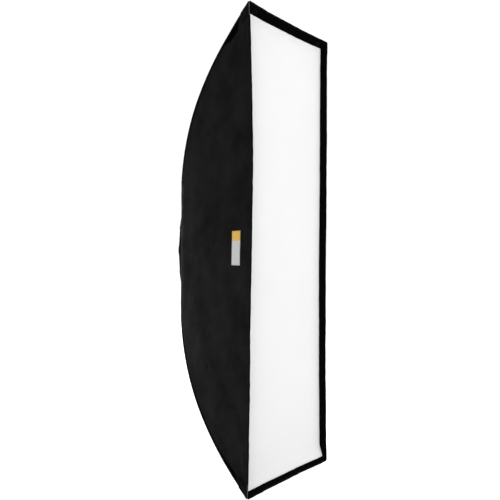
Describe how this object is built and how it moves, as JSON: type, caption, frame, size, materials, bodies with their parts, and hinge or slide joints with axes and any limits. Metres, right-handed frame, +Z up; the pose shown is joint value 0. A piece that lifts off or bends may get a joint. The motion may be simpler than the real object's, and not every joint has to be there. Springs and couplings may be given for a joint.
{
  "type": "strip softbox",
  "caption": "Tall strip softbox: bowed rods in a rotating speed ring stretch a black fabric shell with a silver lining, an inner baffle and a recessed white front diffuser.",
  "frame": {"origin": "centre of the adapter's rear seat face, which rests against the lamp", "axes": "+Y along the optical axis towards the lamp, so the front opening faces -Y; +Z up along the strip; +X to the right seen from the front"},
  "size_m": [0.3598, 0.541, 1.424],
  "materials": {
    "adapter_metal": "turned, satin",
    "ring_paint": "textured satin paint",
    "keeper_metal": "satin paint",
    "fastener_steel": "zinc-plated",
    "socket_steel": "plated tube",
    "rod_steel": "drawn spring steel",
    "collar_plastic": "moulded",
    "cap_rubber": "moulded",
    "black_cloth": "coated plain-weave nylon",
    "patch_cloth": "heavy ballistic weave",
    "silver_lining": "metallised, pebbled",
    "hem_webbing": "ribbed webbing",
    "white_webbing": "ribbed webbing",
    "loop_tape": "brushed loop pile",
    "hook_tape": "moulded hooks",
    "elastic_band": "gathered elastic",
    "woven_label": "plain satin weave, nothing printed",
    "diffusion_cloth": "translucent plain-weave nylon",
    "shoe_plastic": "natural nylon",
    "knob_plastic": "moulded"
  },
  "bodies": {
    "light_adapter": {"adapter_insert": "adapter_metal"},
    "softbox": {"ring_body": "ring_paint", "keeper_ring": "keeper_metal", "keeper_screws": "fastener_steel", "rod_socket_upper_left": "socket_steel", "rod_socket_upper_right": "socket_steel", "rod_socket_lower_left": "socket_steel", "rod_socket_lower_right": "socket_steel", "rod_upper_left": "rod_steel", "rod_upper_right": "rod_steel", "rod_lower_left": "rod_steel", "rod_lower_right": "rod_steel", "rod_collars": "collar_plastic", "rod_tip_caps": "cap_rubber", "corner_pocket_upper_left": "hem_webbing", "corner_pocket_upper_right": "hem_webbing", "corner_pocket_lower_left": "hem_webbing", "corner_pocket_lower_right": "hem_webbing", "side_panel_left": "black_cloth", "side_panel_right": "black_cloth", "end_panel_top": "black_cloth", "end_panel_bottom": "black_cloth", "lining_left": "silver_lining", "lining_right": "silver_lining", "lining_top": "silver_lining", "lining_bottom": "silver_lining", "front_hem": "hem_webbing", "lip_loop_tape": "loop_tape", "seam_binding_upper_left": "hem_webbing", "seam_binding_upper_right": "hem_webbing", "seam_binding_lower_left": "hem_webbing", "seam_binding_lower_right": "hem_webbing", "corner_patch_upper_left": "patch_cloth", "corner_patch_upper_right": "patch_cloth", "corner_patch_lower_left": "patch_cloth", "corner_patch_lower_right": "patch_cloth", "rear_collar": "black_cloth", "collar_elastic": "elastic_band", "closure_loop_tape": "loop_tape", "baffle_tabs": "hem_webbing", "blank_label": "woven_label"},
    "lock_shoe": {"brake_shoe": "shoe_plastic"},
    "lock_screw": {"lock_stud": "fastener_steel", "lock_knob": "knob_plastic"},
    "front_diffuser": {"diffuser_sheet": "diffusion_cloth", "diffuser_border": "hook_tape", "diffuser_pull_tabs": "hem_webbing"},
    "inner_baffle": {"baffle_sheet": "diffusion_cloth", "baffle_hem": "white_webbing", "baffle_straps": "white_webbing"},
    "top_flap": {"rear_flap_top": "black_cloth", "flap_hook_tape_top": "hook_tape", "flap_pull_tab_top": "hem_webbing"},
    "bottom_flap": {"rear_flap_bottom": "black_cloth", "flap_hook_tape_bottom": "hook_tape", "flap_pull_tab_bottom": "hem_webbing"}
  },
  "joints": [
    {"name": "ring_rotation", "type": "hinge", "parent": "light_adapter", "child": "softbox", "pos_m": [0, 0, 0], "axis": [0, 1, 0], "continuous": true},
    {"name": "shoe_slide", "type": "slide", "parent": "softbox", "child": "lock_shoe", "axis": [1, 0, 0], "range_m": [0, 0.0024]},
    {"name": "knob_turn", "type": "hinge", "parent": "lock_shoe", "child": "lock_screw", "pos_m": [0.09, -0.013, 0], "axis": [1, 0, 0], "range_deg": [0, 1080]},
    {"name": "diffuser_slide", "type": "slide", "parent": "softbox", "child": "front_diffuser", "axis": [0, -1, 0], "range_m": [0, 0.15]},
    {"name": "baffle_slide", "type": "slide", "parent": "softbox", "child": "inner_baffle", "axis": [0, -1, 0], "range_m": [0, 0.185]},
    {"name": "top_flap_hinge", "type": "hinge", "parent": "softbox", "child": "top_flap", "pos_m": [0, -0.06645, 0.24636], "axis": [1, 0, 0], "range_deg": [0, 140]},
    {"name": "bottom_flap_hinge", "type": "hinge", "parent": "softbox", "child": "bottom_flap", "pos_m": [0, -0.06645, -0.24636], "axis": [-1, 0, 0], "range_deg": [0, 140]}
  ],
  "couplings": [
    {"joint": "knob_turn", "follows": "shoe_slide", "rad_per_m": 7854}
  ]
}
